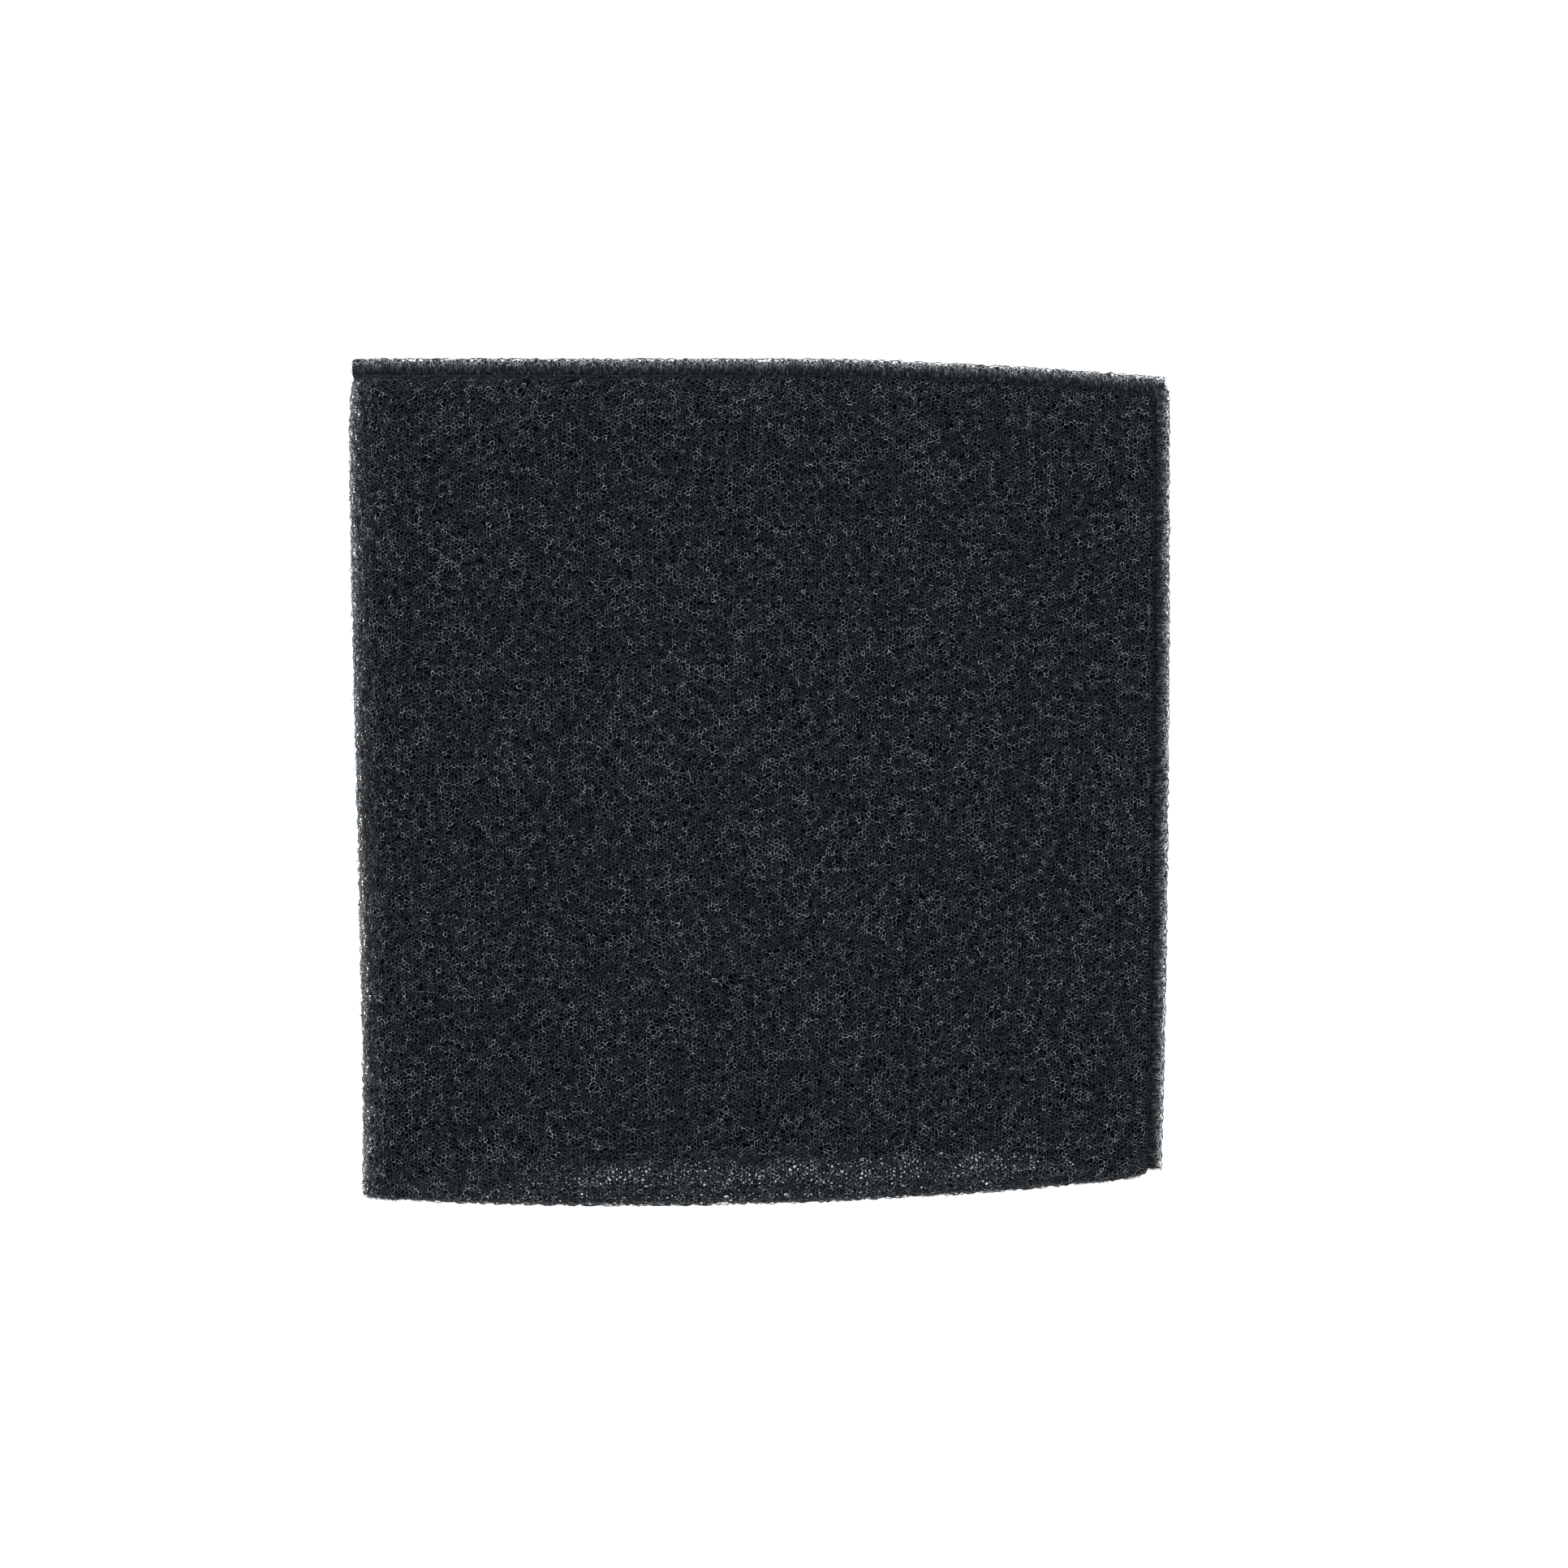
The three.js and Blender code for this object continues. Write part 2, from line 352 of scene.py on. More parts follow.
    def fold_share(self, across_run):
        """1 where the sheet turns round the fold, 0 on the panels."""
        start, end = self.FOLD_FADE
        return 1 - smoothstep(abs(across_run), start * self.full_fold, end * self.full_fold)

    def bare_lip(self, across_run):
        """How far in from the mouth the foam lets light through."""
        shallow, deep = 0.003, 0.0125
        if across_run < 0:
            return shallow
        past_fold = smoothstep(across_run, 0.7 * self.full_fold, 1.8 * self.full_fold)
        before_weld = 1 - smoothstep(across_run, self.half_run - 0.045, self.half_run - 0.006)
        return lerp(shallow, deep, past_fold * before_weld)


class Seam:
    """One of the two seam lines, with its flange of cut foam outside it."""

    NOTCH = 0.0009  # how far in from the fold's line the top seam starts
    PAST_CORNER = 0.0022  # how far the side seam's flange runs past its upper end

    def __init__(self, sheet, name, lip_width):
        shape = sheet.shape
        self.sheet = sheet
        self.name = name
        self.lip_width = lip_width
        self.inner = shape.weld_width / 2 + shape.joint_gap
        self.left = sheet.fold_edge_x(1) + self.NOTCH
        self.right = TOP_WELD_BOX[1].x
        self.low = sheet.mouth_edge_y(1, True)
        self.high = SIDE_WELD_BOX[1].y
        self.length = self.right - self.left if name == "top" else self.high - self.low
        self.start = 0 if name == "top" else -self.PAST_CORNER

    def point(self, run, out, height):
        """A place run along the seam, out from its middle line and height above it."""
        sheet = self.sheet
        if self.name == "top":
            x = self.left + run
            share = (x - self.left) / (sheet.weld_x - self.left)
            return Vector((x, sheet.top_weld_y(share) + out, sheet.seam_z + height))
        y = self.high - run
        share = (y - self.low) / (self.high - self.low)
        return Vector((sheet.side_weld_x(share) + out, y, sheet.seam_z + height))


# ---------------------------------------------------------------------------
# Mesh helpers


def finish_mesh(name, bm, material, smooth=True):
    """Makes a piece of the object out of a bmesh, and puts it on the frame's body."""
    mesh = bpy.data.meshes.new(name)
    bm.to_mesh(mesh)
    bm.free()
    mesh.polygons.foreach_set("use_smooth", [smooth] * len(mesh.polygons))
    piece = bpy.data.objects.new(name, mesh)
    bpy.context.scene.collection.objects.link(piece)
    mesh.materials.append(material)
    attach(piece, BODY)
    return piece


def cell_net(across, along, cell, rng, drawn=1.0, missing=0.0):
    """A flat net of irregular cells: a shaken triangle mesh with its corners cut off.

    Each cut corner is a ring of struts with its own size, height and tilt, kept as the net's
    lift layer. drawn above 1 makes the cells that much longer along the second direction.
    """
    width, length = across[1] - across[0], along[1] - along[0]
    pitch = CELL_PITCH * cell
    columns = max(1, round(width / pitch))
    rows = max(1, round(length / (ROW_STEP * pitch * drawn)))
    bm = bmesh.new()
    lift = bm.verts.layers.float.new("lift")
    bmesh.ops.create_grid(bm, x_segments=columns, y_segments=rows, size=0.5)
    for vert in bm.verts:
        edge_x, edge_y = abs(vert.co.x) > 0.499, abs(vert.co.y) > 0.499
        slide = ROW_SLIDE if round((vert.co.y + 0.5) * rows) % 2 else -ROW_SLIDE
        shake_x = 0 if edge_x else (slide + rng.uniform(-SHAKE, SHAKE)) / columns
        shake_y = 0 if edge_y else rng.uniform(-SHAKE, SHAKE) / rows
        u, v = vert.co.x + 0.5 + shake_x, vert.co.y + 0.5 + shake_y
        vert.co = (width * u, length * v / drawn, 0)
    bmesh.ops.triangulate(bm, faces=bm.faces[:], quad_method="SHORT_EDGE", ngon_method="BEAUTY")
    cut = bmesh.ops.bevel(
        bm, geom=bm.verts[:] + bm.edges[:], offset=RING_CUT, offset_type="PERCENT", segments=1,
        profile=0.5, affect="VERTICES", material=-1,
    )
    ring_edges = set()
    for ring in cut["faces"]:
        ring_edges.update(ring.edges)
        centre = ring.calc_center_median()
        height, size = rng.uniform(-1, 1), rng.uniform(*RING_SIZES)
        slope = Vector((rng.uniform(-TILT, TILT), rng.uniform(-TILT, TILT), 0))
        for vert in ring.verts:
            offset = (vert.co - centre) * size
            vert[lift] = height + slope.dot(offset) / cell
            vert.co = centre + offset
    lost = []
    for edge in bm.edges:
        share = RING_SHARE * missing if edge in ring_edges else missing
        if not edge.is_boundary and rng.random() < share:
            lost.append(edge)
    bmesh.ops.dissolve_edges(bm, edges=lost, use_verts=False, use_face_split=False)
    for vert in bm.verts:
        stray = FRAY if vert.is_boundary else STRAY
        vert[lift] += rng.uniform(-0.2, 0.2)
        vert.co.x += rng.uniform(-stray, stray) * cell
        vert.co.y += rng.uniform(-stray, stray) * cell
        vert.co = (across[0] + vert.co.x, along[0] + vert.co.y * drawn, 0)
    return bm


def make_struts(bm, strut):
    """Turns each edge of a net into a strut."""
    bm.normal_update()
    bmesh.ops.wireframe(
        bm, faces=bm.faces[:], thickness=strut, offset=0.0, use_replace=True,
        use_boundary=True, use_even_offset=False,
    )


# Adds no painted light and no painted shade.
def no_painted_light(u, v):
    return 0


def foam_net(name, flat, place, relief, strut, material, strips=1, painted_light=no_painted_light):
    """Puts a flat net in place by place(u, v, lift), and makes its struts in so many pieces.

    The last argument, a function of (u, v), adds painted light and shade to the lift that sets a strut's
    colour: more is paler.
    """
    lift = flat.verts.layers.float["lift"]
    low = min(v.co.x for v in flat.verts)
    width = (max(v.co.x for v in flat.verts) - low) / strips
    region = [min(strips - 1, int((f.calc_center_median().x - low) / width)) for f in flat.faces]
    for vert in flat.verts:
        u, v = vert.co.x, vert.co.y
        vert.co = place(u, v, -relief * vert[lift])
        vert.co.z = max(vert.co.z, 0.6 * strut)
        # Painted light and shade: from here the lift layer only sets how pale a strut is painted.
        vert[lift] += painted_light(u, v)
    pieces = []
    for strip in range(strips):
        part = flat.copy()
        part.faces.ensure_lookup_table()
        others = [f for f in part.faces if region[f.index] != strip]
        bmesh.ops.delete(part, geom=others, context="FACES")
        make_struts(part, strut)
        label = name if strips == 1 else f"{name}_{strip + 1}"
        pieces.append(finish_mesh(label, part, material))
    flat.free()
    return pieces


def of_foam(pieces, *nodes):
    """Hides the CAD nodes that the pieces of foam are made to replace."""
    for piece in pieces:
        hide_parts(*nodes)


# ---------------------------------------------------------------------------
# Materials


def new_material(name):
    material = bpy.data.materials.new(name)
    material.use_nodes = True
    tree = material.node_tree
    tree.nodes.clear()
    output = tree.nodes.new("ShaderNodeOutputMaterial")
    shader = tree.nodes.new("ShaderNodeBsdfPrincipled")
    tree.links.new(shader.outputs["BSDF"], output.inputs["Surface"])
    return material, tree, shader


def object_coordinates(tree):
    return tree.nodes.new("ShaderNodeTexCoord").outputs["Object"]


def noise(tree, vector, scale, detail=3.0, roughness=0.55):
    node = tree.nodes.new("ShaderNodeTexNoise")
    node.inputs["Scale"].default_value = scale
    node.inputs["Detail"].default_value = detail
    node.inputs["Roughness"].default_value = roughness
    tree.links.new(vector, node.inputs["Vector"])
    return node.outputs["Fac"]


def ramp(tree, value, stops):
    node = tree.nodes.new("ShaderNodeValToRGB")
    elements = node.color_ramp.elements
    while len(elements) < len(stops):
        elements.new(0.5)
    for element, (position, colour) in zip(elements, stops):
        element.position = position
        element.color = (*colour, 1)
    tree.links.new(value, node.inputs["Fac"])
    return node.outputs["Color"]


def bump(tree, height, distance):
    node = tree.nodes.new("ShaderNodeBump")
    node.inputs["Distance"].default_value = distance
    tree.links.new(height, node.inputs["Height"])
    return node.outputs["Normal"]


def tint(colour, factor):
    return tuple(channel * factor for channel in colour)


def strut_material(look):
    """Dark grey foam struts with painted light and shade: pale along the rings that stand proud, near black
    lower down, with painted glints.
    """
    material, tree, shader = new_material("foam_struts")
    where = object_coordinates(tree)
    base, deep = tuple(look.strut_colour), tuple(look.deep_colour)
    # Painted light and shade: the lift layer makes proud rings paler and deeper struts darker; the noise
    # adds random tone.
    height = tree.nodes.new("ShaderNodeAttribute")
    height.attribute_name = "lift"
    shade_at = tree.nodes.new("ShaderNodeMath")
    shade_at.operation = "MULTIPLY_ADD"
    shade_at.inputs[1].default_value = 0.13
    tree.links.new(height.outputs["Fac"], shade_at.inputs[0])
    tree.links.new(noise(tree, where, 2500.0, 1.0), shade_at.inputs[2])
    shade = ramp(
        tree,
        shade_at.outputs["Value"],
        [
            (0.26, tint(deep, 0.8)), (0.44, tint(deep, 1.7)), (0.58, tint(base, 1.05)),
            (0.70, tint(base, 3.5)), (0.82, tint(base, 9.5)),
        ],
    )
    # Painted glints: sparse pale dots that stand for small highlights on the struts.
    painted_glint = ramp(tree, noise(tree, where, 4200.0, 0.0), [(0.80, (0, 0, 0)), (0.86, (0.5, 0.52, 0.54))])
    painted_shade_and_glints = tree.nodes.new("ShaderNodeMix")
    painted_shade_and_glints.data_type = "RGBA"
    painted_shade_and_glints.blend_type = "ADD"
    painted_shade_and_glints.inputs["Factor"].default_value = 1.0
    tree.links.new(shade, painted_shade_and_glints.inputs[6])
    tree.links.new(painted_glint, painted_shade_and_glints.inputs[7])
    tree.links.new(painted_shade_and_glints.outputs[2], shader.inputs["Base Color"])
    gloss = ramp(tree, noise(tree, where, 1500.0, 2.0), [(0.3, (0.42,) * 3), (0.7, (0.75,) * 3)])
    tree.links.new(gloss, shader.inputs["Roughness"])
    tree.links.new(bump(tree, noise(tree, where, 5000.0, 2.0), 0.00003), shader.inputs["Normal"])
    shader.inputs["Specular IOR Level"].default_value = 0.16
    return material


def painted_shade_strut_material(look):
    """Struts inside the foam, where little light comes: a copy of the struts' material painted darker, as
    painted shade.
    """
    material, tree, shader = new_material("foam_struts_painted_shade")
    where = object_coordinates(tree)
    deep = tuple(look.deep_colour)
    patches = noise(tree, where, 800.0, 2.0)
    shade = ramp(tree, patches, [(0.3, tint(deep, 0.7)), (0.5, tint(deep, 2.0)), (0.72, tint(deep, 5.0))])
    tree.links.new(shade, shader.inputs["Base Color"])
    gloss = ramp(tree, noise(tree, where, 1500.0, 2.0), [(0.3, (0.6,) * 3), (0.7, (0.9,) * 3)])
    tree.links.new(gloss, shader.inputs["Roughness"])
    tree.links.new(bump(tree, noise(tree, where, 4000.0, 2.0), 0.00004), shader.inputs["Normal"])
    shader.inputs["Specular IOR Level"].default_value = 0.06
    return material


def core_material(look):
    """The foam's depth as painted shade: a dim web of deeper struts over black pores."""
    material, tree, shader = new_material("foam_depth_painted_shade")
    where = object_coordinates(tree)
    web = tree.nodes.new("ShaderNodeTexVoronoi")
    web.feature = "DISTANCE_TO_EDGE"
    web.inputs["Scale"].default_value = 1 / look.cell
    tree.links.new(where, web.inputs["Vector"])
    deep = tuple(look.deep_colour)
    edge = tint(deep, 2.0)
    lines = ramp(tree, web.outputs["Distance"], [(0.03, edge), (0.09, tint(edge, 0.5)), (0.16, deep)])
    patches = ramp(tree, noise(tree, where, 650.0, 2.0), [(0.35, (0.1,) * 3), (0.65, (1.0,) * 3)])
    mix = tree.nodes.new("ShaderNodeMix")
    mix.data_type = "RGBA"
    mix.blend_type = "MULTIPLY"
    mix.inputs["Factor"].default_value = 1.0
    tree.links.new(lines, mix.inputs[6])
    tree.links.new(patches, mix.inputs[7])
    tree.links.new(mix.outputs[2], shader.inputs["Base Color"])
    tree.links.new(bump(tree, web.outputs["Distance"], -0.0004), shader.inputs["Normal"])
    gloss = ramp(tree, noise(tree, where, 900.0, 2.0), [(0.3, (0.8,) * 3), (0.7, (1.0,) * 3)])
    tree.links.new(gloss, shader.inputs["Roughness"])
    shader.inputs["Specular IOR Level"].default_value = 0.0
    return material


def weld_material(look):
    """Foam fused under heat: near black, smoother than the struts, with melted ribs."""
    material, tree, shader = new_material("fused_foam")
    where = object_coordinates(tree)
    deep = tuple(look.deep_colour)
    patches = noise(tree, where, 700.0, 3.0)
    shade = ramp(tree, patches, [(0.3, tint(deep, 0.6)), (0.55, tint(deep, 1.3)), (0.8, tint(deep, 3.0))])
    tree.links.new(shade, shader.inputs["Base Color"])
    gloss = ramp(tree, noise(tree, where, 1100.0, 2.0), [(0.3, (0.45,) * 3), (0.7, (0.8,) * 3)])
    tree.links.new(gloss, shader.inputs["Roughness"])
    tree.links.new(bump(tree, noise(tree, where, 1800.0, 3.0), 0.00012), shader.inputs["Normal"])
    shader.inputs["Specular IOR Level"].default_value = 0.15
    return material


def flange_material(look, name, drawn):
    """Foam squeezed beside a weld: dark strands drawn out away from it."""
    material, tree, shader = new_material(name)
    mapping = tree.nodes.new("ShaderNodeMapping")
    mapping.inputs["Scale"].default_value = drawn
    tree.links.new(object_coordinates(tree), mapping.inputs["Vector"])
    strands = noise(tree, mapping.outputs["Vector"], 1.0, 2.0)
    base, deep = tuple(look.strut_colour), tuple(look.deep_colour)
    shade = ramp(
        tree, strands,
        [(0.34, tint(deep, 0.9)), (0.48, tint(deep, 2.6)), (0.58, tint(base, 1.5)), (0.70, tint(base, 4.0))],
    )
    tree.links.new(shade, shader.inputs["Base Color"])
    gloss = ramp(tree, strands, [(0.3, (0.9,) * 3), (0.7, (0.6,) * 3)])
    tree.links.new(gloss, shader.inputs["Roughness"])
    tree.links.new(bump(tree, strands, 0.0003), shader.inputs["Normal"])
    shader.inputs["Specular IOR Level"].default_value = 0.08
    return material


def shared_material(name, make, look):
    return bpy.data.materials.get(name) or make(look)


# ---------------------------------------------------------------------------
# Operators


class SPONGE_OT_core(bpy.types.Operator):
    """Make the dark inside of the folded sheet, painted as the foam's shaded depth"""

    bl_idname = "sponge.core"
    bl_label = "Foam core"

    def execute(self, context):
        look = context.scene.sponge_foam
        shape = context.scene.sponge_shape
        sheet = FoldedSheet(shape)
        columns = 150
        rng = random.Random(7)
        ragged = [rng.uniform(-CORE_RAGGED, CORE_RAGGED) for _ in range(columns + 1)]
        bm = bmesh.new()
        bmesh.ops.create_grid(bm, x_segments=columns, y_segments=50, size=1.0)
        extruded = bmesh.ops.extrude_face_region(bm, geom=bm.faces[:])
        for item in extruded["geom"]:
            if isinstance(item, bmesh.types.BMVert):
                item.co.z = 1
        for vert in bm.verts:
            across_run = vert.co.x * (sheet.half_run - 0.0006)
            outer = lerp(look.core_depth, look.fold_core_depth, sheet.fold_share(across_run))
            depth = outer if vert.co.z < 0.5 else shape.thickness - look.core_depth
            start = sheet.bare_lip(across_run) * (1 + ragged[round((vert.co.x + 1) / 2 * columns)])
            along_run = lerp(start, sheet.long_run - 0.0006, (vert.co.y + 1) / 2)
            vert.co = sheet.point(across_run, along_run, depth)
        bmesh.ops.recalc_face_normals(bm, faces=bm.faces[:])
        core = finish_mesh("foam_core", bm, shared_material("foam_depth_painted_shade", core_material, look))
        of_foam([core], "folded_foam")
        return {"FINISHED"}


class SPONGE_OT_panel_nets(bpy.types.Operator):
    """Lay the nets of struts over the front panel, the fold and the back panel"""

    bl_idname = "sponge.panel_nets"
    bl_label = "Panel nets"

    def execute(self, context):
        look = context.scene.sponge_foam
        sheet = FoldedSheet(context.scene.sponge_shape)
        material = shared_material("foam_struts", strut_material, look)
        deep = shared_material("foam_struts_painted_shade", painted_shade_strut_material, look)
        run, length = sheet.half_run, sheet.long_run
        turn = 0.75 * sheet.full_fold
        coarser = look.back_cell / look.cell

        def at_depth(depth, dive):
            def place(u, v, lift):
                sunk = dive * (1 - sheet.fold_share(u))
                return sheet.point(u, v, max(0, depth + lift + sunk))
            return place

        # Painted light and shade: struts are painted paler at the fold, where light comes through, and
        # darker where they run into a weld.
        def painted_fold_light_and_weld_shade(u, v):
            to_weld = min(length - v, run - abs(u))
            at_fold = 1 - smoothstep(abs(u), 0.15 * sheet.full_fold, 0.42 * sheet.full_fold)
            return PAINTED_FOLD_LIGHT * at_fold - PAINTED_WELD_SHADE * (1 - smoothstep(to_weld, 0.0003, 0.0019))

        # name, across, cell, depth, roughness, strut, missing, pieces, material
        nets = (
            ("front_skin", (-0.6 * turn, run), 1.045, look.relief, 0.9, 1.05, 0.07, 7, material),
            ("back_skin", (-run, -0.5 * turn), coarser, look.relief, 1.0, 1.6, 0.1, 1, material),
            ("fold_under", (-turn, 0.8 * turn), 1.6, 0.0014, 2.0, 1.3, 0.05, 1, material),
            ("fold_middle", (-turn, turn), 2.1, 0.0024, 2.2, 2.4, 0.05, 1, deep),
        )
        for seed, row in enumerate(nets, start=11):
            name, across, cell, depth, rough, strut, lost, strips, made_of = row
            flat = cell_net(across, (0, length), cell * look.cell, random.Random(seed), missing=lost)
            relief = rough * look.relief
            dive = 0 if name.endswith("skin") else 0.0012
            place = at_depth(depth, dive)
            pieces = foam_net(name, flat, place, relief, strut * look.strut, made_of, strips, painted_fold_light_and_weld_shade)
            of_foam(pieces, "folded_foam")
        return {"FINISHED"}


class SPONGE_OT_mouth(bpy.types.Operator):
    """Fill the two lips of the mouth with nets, and cover their cut faces and the inside"""

    bl_idname = "sponge.mouth"
    bl_label = "Mouth"

    def execute(self, context):
        look = context.scene.sponge_foam
        shape = context.scene.sponge_shape
        sheet = FoldedSheet(shape)
        material = shared_material("foam_struts", strut_material, look)
        deep = shared_material("foam_struts_painted_shade", painted_shade_strut_material, look)
        run, thick = sheet.half_run, shape.thickness
        reach = 0.014

        def front_layer(depth):
            return lambda u, v, lift: sheet.point(u, v / reach * (sheet.bare_lip(u) + 0.0015), depth + lift)

        def back_layer(depth):
            return lambda u, v, lift: sheet.point(u, v, depth + lift)

        def cut_face(u, v, lift):
            return sheet.point(u, max(0, look.relief + lift), v)

        def cut_depth(u, v, lift):
            return sheet.point(u, 0.0026 + lift, v)

        inner_face = back_layer(thick - look.relief)

        # name, across, along or depth, cell, place, roughness, strut, material
        nets = (
            ("front_lip_upper", (0, run), (0, reach), 1.25, front_layer(0.0020), 1.5, 2.0, deep),
            ("front_lip_middle", (0, run), (0, reach), 1.25, front_layer(0.0040), 1.5, 3.4, deep),
            ("front_lip_lower", (0, run), (0, reach), 1.25, front_layer(0.0062), 1.5, 3.4, deep),
            ("back_lip_upper", (-run, 0), (0, 0.0045), 1.7, back_layer(0.0030), 1.5, 3.2, deep),
            ("back_lip_lower", (-run, 0), (0, 0.0045), 1.7, back_layer(0.0068), 1.5, 3.2, deep),
            ("mouth_cut_face", (-run, run), (0.0003, thick - 0.0003), 1.25, cut_face, 1.3, 1.1, material),
            ("mouth_cut_depth", (-run, run), (0.0008, thick - 0.0008), 2.0, cut_depth, 2.4, 2.4, deep),
            ("inside_skin", (-run, run), (0, 0.020), 2.8, inner_face, 1.0, 1.6, material),
        )
        for seed, (name, across, along, cell, place, rough, strut, made_of) in enumerate(nets, start=31):
            flat = cell_net(across, along, cell * look.cell, random.Random(seed), missing=0.04)
            relief = rough * look.relief
            of_foam(foam_net(name, flat, place, relief, strut * look.strut, made_of), "folded_foam")
        return {"FINISHED"}


class SPONGE_OT_seams(bpy.types.Operator):
    """Make the fused line of each seam and the flange of drawn foam outside it"""

    bl_idname = "sponge.seams"
    bl_label = "Seams"

    def execute(self, context):
        sheet = FoldedSheet(context.scene.sponge_shape)
        top_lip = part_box("top_lip_front")
        side_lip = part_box("side_lip_front")
        inner = sheet.shape.weld_width / 2 + sheet.shape.joint_gap
        top_width = top_lip[1].y - sheet.weld_y - inner
        side_width = side_lip[1].x - sheet.weld_x - inner
        for seam in (Seam(sheet, "top", top_width), Seam(sheet, "side", side_width)):
            self.make_weld(context.scene.sponge_foam, seam)
            self.make_body(context.scene.sponge_foam, seam)
            for side in (1, -1):
                self.make_flange(context.scene.sponge_foam, seam, side)
        return {"FINISHED"}

    def seam_bar(self, seam, step, segments):
        """A closed bar of radius 1, cut crosswise into short steps, with its length along Z."""
        steps = round(seam.length / step)
        bm = bmesh.new()
        bmesh.ops.create_cone(
            bm, cap_ends=True, segments=segments, radius1=1.0, radius2=1.0, depth=1.0,
        )
        lengthwise = [e for e in bm.edges if abs(e.verts[0].co.z - e.verts[1].co.z) > 0.5]
        bmesh.ops.subdivide_edges(bm, edges=lengthwise, cuts=steps, use_grid_fill=True)
        return bm, steps

    def make_weld(self, look, seam):
        """A fused bar with its middle pressed in, ribbed across where struts melted into it."""
        shape = seam.sheet.shape
        half_width = 0.5 * shape.weld_width
        half_height = 0.55 * (shape.pinched + shape.layer_gap / 2)
        end = 0.0012
        squareness, pinch, rib_depth = 0.7, 0.3, 0.14
        bm, steps = self.seam_bar(seam, 0.0004, 16)
        rng = random.Random(61)
        ribs = [rng.uniform(0.0, 1.0) ** 2 for _ in range(steps + 3)]
        for vert in bm.verts:
            share = clamp(vert.co.z + 0.5)
            pressed = 1 - abs(vert.co.x)
            out = half_width * vert.co.x
            height = half_height * math.copysign(abs(vert.co.y) ** squareness, vert.co.y)
            height *= 1 - pinch * pressed - rib_depth * ribs[round(share * steps)]
            vert.co = seam.point(lerp(end, seam.length - end, share), out, height)
        bmesh.ops.recalc_face_normals(bm, faces=bm.faces[:])
        weld = finish_mesh(f"{seam.name}_fused_line", bm, shared_material("fused_foam", weld_material, look))
        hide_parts(f"{seam.name}_weld")

    def make_body(self, look, seam):
        """The dense inside of a flange: a half-round bar, ribbed away from the weld."""
        reach = seam.inner + seam.lip_width - 0.0002
        tall = 0.84 * (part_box("top_lip_front")[1].z - seam.sheet.seam_z)
        rib_height, ragged = 0.13, 0.0004
        bm, steps = self.seam_bar(seam, 0.00045, 18)
        rng = random.Random(65)
        ribs = [rng.uniform(-1, 1) for _ in range(steps + 3)]
        reaches = [rng.uniform(-1, 1) for _ in range(steps + 3)]
        for vert in bm.verts:
            share = clamp(vert.co.z + 0.5)
            step = round(share * steps)
            outward = (vert.co.x + 1) / 2
            out = lerp(-0.0006, reach + ragged * reaches[step], outward)
            height = tall * vert.co.y * (1 + rib_height * ribs[step]) * lerp(0.7, 1.0, outward)
            vert.co = seam.point(lerp(seam.start, seam.length - 0.0005, share), out, height)
        bmesh.ops.recalc_face_normals(bm, faces=bm.faces[:])
        drawn = (2200.0, 600.0, 900.0) if seam.name == "top" else (600.0, 2200.0, 900.0)
        material = flange_material(look, f"flange_foam_{seam.name}", drawn)
        body = finish_mesh(f"{seam.name}_flange_body", bm, material)
        of_foam([body], f"{seam.name}_lip_front", f"{seam.name}_lip_back")

    def make_flange(self, look, seam, side):
        """Nets over one layer of the flange, with cells drawn away from the weld."""
        shape = seam.sheet.shape
        material = shared_material("foam_struts", strut_material, look)
        label = "front" if side > 0 else "back"
        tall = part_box("top_lip_front")[1].z - seam.sheet.seam_z
        reach = seam.inner + seam.lip_width
        span = 0.0076  # length of net from the weld over the flange to its outer edge
        outward, roundness, closing = 1.4, 3.2, 0.42
        gripped, free_from = 0.45, 0.0018

        # Painted light and shade over the flange: dark by the weld, pale where the flange rises, darker
        # again at its outer edge.
        def painted_flange_light_and_shade(u, v):
            risen = smoothstep(v, 0.1 * span, 0.65 * span)
            return lerp(-3.0, 2.6, risen) - 2.0 * smoothstep(v, 0.72 * span, 0.95 * span)

        def over(u, v, lift):
            share = clamp(v / span)
            out = lerp(-0.0007, reach, 1 - (1 - share) ** outward)
            bulge = (1 - share**roundness) ** closing
            pressed = lerp(gripped, 1, smoothstep(out, 0, free_from))
            height = shape.layer_gap / 2 + 0.95 * tall * bulge * pressed
            spread = 0.8 * lift * smoothstep(share, 0.05, 0.3)
            fray = 0.5 * (v - share * span)
            return seam.point(u, out + 0.5 * spread * share + fray, side * (height + spread * (1 - share)))

        rng = random.Random(71 + side)
        across = (seam.start, seam.length)
        flat = cell_net(across, (0, span), 0.85 * look.cell, rng, drawn=2.0, missing=look.missing)
        name = f"{seam.name}_flange_{label}"
        pieces = foam_net(name, flat, over, look.relief, look.strut, material, painted_light=painted_flange_light_and_shade)
        of_foam(pieces, f"{seam.name}_lip_{label}")


